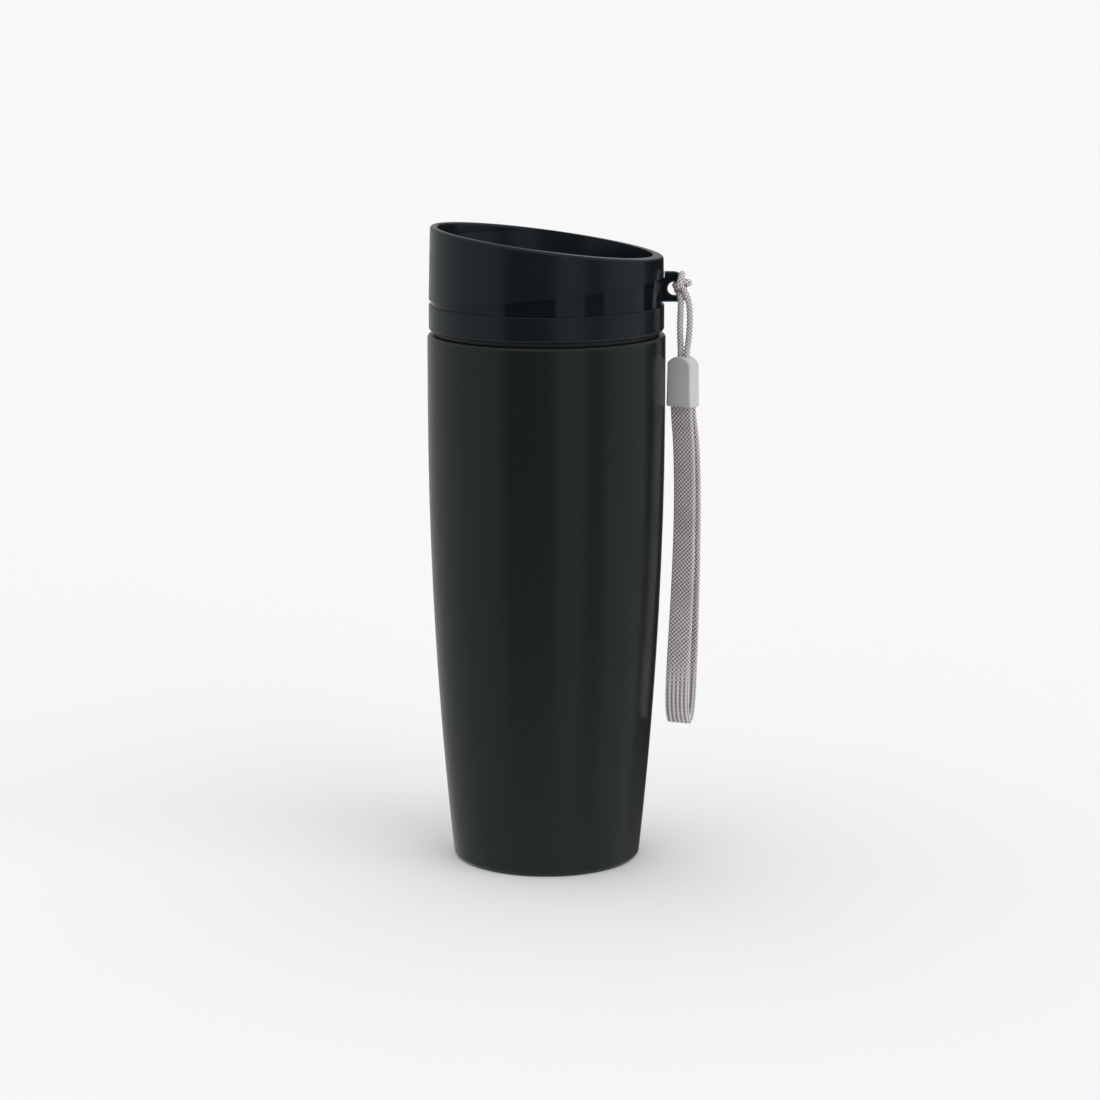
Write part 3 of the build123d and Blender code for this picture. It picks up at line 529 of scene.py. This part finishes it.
def dress(piece, material):
    """Gives a piece one material in all its slots."""
    if not piece.material_slots:
        piece.data.materials.append(material)
    for material_slot in piece.material_slots:
        material_slot.material = material


for node_name, node_material in CAD_MATERIALS.items():
    dress(nodes[node_name], node_material)
dress(make_cord(), BRAID)
dress(make_strap(), BRAID)
dress(make_spring(), BRIGHT_WIRE)


# ---------------------------------------------------------------- studio
def plane(name, centre, facing, width, height):
    """A flat stage card whose face looks at a point."""
    mesh = bpy.data.meshes.new(name)
    half_w = width / 2
    half_h = height / 2
    corners = [
        (-half_w, -half_h, 0),
        (half_w, -half_h, 0),
        (half_w, half_h, 0),
        (-half_w, half_h, 0),
    ]
    mesh.from_pydata(corners, [], [(0, 1, 2, 3)])
    card = bpy.data.objects.new(name, mesh)
    bpy.context.scene.collection.objects.link(card)
    card.location = centre
    card.rotation_euler = (Vector(facing) - Vector(centre)).to_track_quat("Z", "Y").to_euler()
    return card


def make_floor():
    """A wide pale floor.  Shiny surfaces see the studio's walls in its place."""
    floor = plane("floor", (0, 0, 0), (0, 0, 1), FLOOR_SIZE, FLOOR_SIZE)
    material, tree, shader = new_material("floor")
    shader.inputs["Base Color"].default_value = (FLOOR_TONE, FLOOR_TONE, FLOOR_TONE, 1.0)
    shader.inputs["Roughness"].default_value = 0.9
    shader.inputs["Specular IOR Level"].default_value = 0.0
    floor.visible_glossy = False
    dress(floor, material)


# The studio's walls as shiny surfaces see them: the turn from -X towards -Y, in degrees, and the brightness.
WALLS = [
    (0, 0.36),
    (30, 0.32),
    (47, 0.29),
    (49, 0.06),
    (98, 0.06),
    (100, 0.33),
    (127, 0.33),
    (129, 0.09),
    (148, 0.09),
    (150, 0.33),
    (200, 0.36),
    (205, 0.02),
    (252, 0.02),
    (262, 0.38),
    (280, 0.55),
    (315, 0.40),
    (360, 0.36),
]
CEILING = 0.45
FLOOR_SHEEN = 0.42
CEILING_RISE = (0.15, 0.55)             # the heights of a direction where the walls give way to the ceiling
FLOOR_FALL = (-0.28, -0.46)             # and to the floor
SOFT_LIGHT = (0.46, 0.46, 0.475)        # the even light on the mug
BACKDROP = (0.98, 0.98, 0.98)           # what the camera sees behind it
FLOOR_SIZE = 120
FLOOR_TONE = 0.90


def walls(tree, direction):
    """The walls' brightness by their direction: screens, the gaps between them and dark cards."""
    turn = tree.nodes.new("ShaderNodeTexGradient")
    turn.gradient_type = "RADIAL"
    tree.links.new(direction, turn.inputs["Vector"])
    ramp = tree.nodes.new("ShaderNodeValToRGB")
    stops = ramp.color_ramp.elements
    for stop, (angle, brightness) in zip(list(stops), (WALLS[0], WALLS[-1])):
        stop.position = angle / 360
        stop.color = (brightness, brightness, brightness, 1.0)
    for angle, brightness in WALLS[1:-1]:
        stop = stops.new(angle / 360)
        stop.color = (brightness, brightness, brightness, 1.0)
    tree.links.new(turn.outputs["Fac"], ramp.inputs["Fac"])
    return ramp.outputs["Color"]


def height_share(tree, direction, start, end):
    """How far a direction's height has come from start to end, 0 to 1."""
    split = tree.nodes.new("ShaderNodeSeparateXYZ")
    tree.links.new(direction, split.inputs["Vector"])
    share = tree.nodes.new("ShaderNodeMapRange")
    share.inputs["From Min"].default_value = start
    share.inputs["From Max"].default_value = end
    tree.links.new(split.outputs["Z"], share.inputs["Value"])
    return share.outputs["Result"]


def blend(tree, share, first, brightness):
    """From a colour to a plain grey, by a share."""
    node = tree.nodes.new("ShaderNodeMix")
    node.data_type = "RGBA"
    node.inputs["B"].default_value = (brightness, brightness, brightness, 1.0)
    tree.links.new(first, node.inputs["A"])
    tree.links.new(share, node.inputs["Factor"])
    return node.outputs["Result"]


def make_world():
    """White for the camera, an even soft light for the mug, and the studio's walls in its reflections."""
    world = bpy.data.worlds.new("studio")
    bpy.context.scene.world = world
    world.use_nodes = True
    tree = world.node_tree
    direction = tree.nodes.new("ShaderNodeTexCoord").outputs["Generated"]
    seen = walls(tree, direction)
    seen = blend(tree, height_share(tree, direction, *CEILING_RISE), seen, CEILING)
    seen = blend(tree, height_share(tree, direction, *FLOOR_FALL), seen, FLOOR_SHEEN)
    path = tree.nodes.new("ShaderNodeLightPath")
    lit = between(tree, path.outputs["Is Camera Ray"], SOFT_LIGHT, BACKDROP)
    choice = tree.nodes.new("ShaderNodeMix")
    choice.data_type = "RGBA"
    tree.links.new(path.outputs["Is Glossy Ray"], choice.inputs["Factor"])
    tree.links.new(lit, choice.inputs["A"])
    tree.links.new(seen, choice.inputs["B"])
    tree.links.new(choice.outputs["Result"], tree.nodes["Background"].inputs["Color"])


def soft_sun(name, energy, spread_angle, turn):
    """A soft distant light, which shiny surfaces don't show."""
    sun = bpy.data.lights.new(name, "SUN")
    sun.energy = energy
    sun.angle = math.radians(spread_angle)
    lamp = bpy.data.objects.new(name, sun)
    lamp.rotation_euler = [math.radians(angle) for angle in turn]
    lamp.visible_glossy = False
    bpy.context.scene.collection.objects.link(lamp)


def make_lights():
    """A wide soft light from above, and one from the right of the camera."""
    soft_sun("overhead", 1.45, 95, (-8, -10, 0))
    soft_sun("right_fill", 0.85, 60, (60, 0, 52))


def make_camera():
    lens = bpy.data.cameras.new("camera")
    lens.sensor_width = SENSOR
    lens.lens = LENS
    lens.clip_start = 0.01
    lens.clip_end = 200.0
    camera = bpy.data.objects.new("camera", lens)
    camera.location = (CAMERA_SIDE, -CAMERA_DISTANCE, CAMERA_HEIGHT)
    camera.rotation_euler = (math.radians(90.0 - CAMERA_PITCH), 0, 0)
    bpy.context.scene.collection.objects.link(camera)
    bpy.context.scene.camera = camera


make_floor()
make_world()
make_lights()
make_camera()
bpy.context.scene.view_settings.view_transform = "Standard"
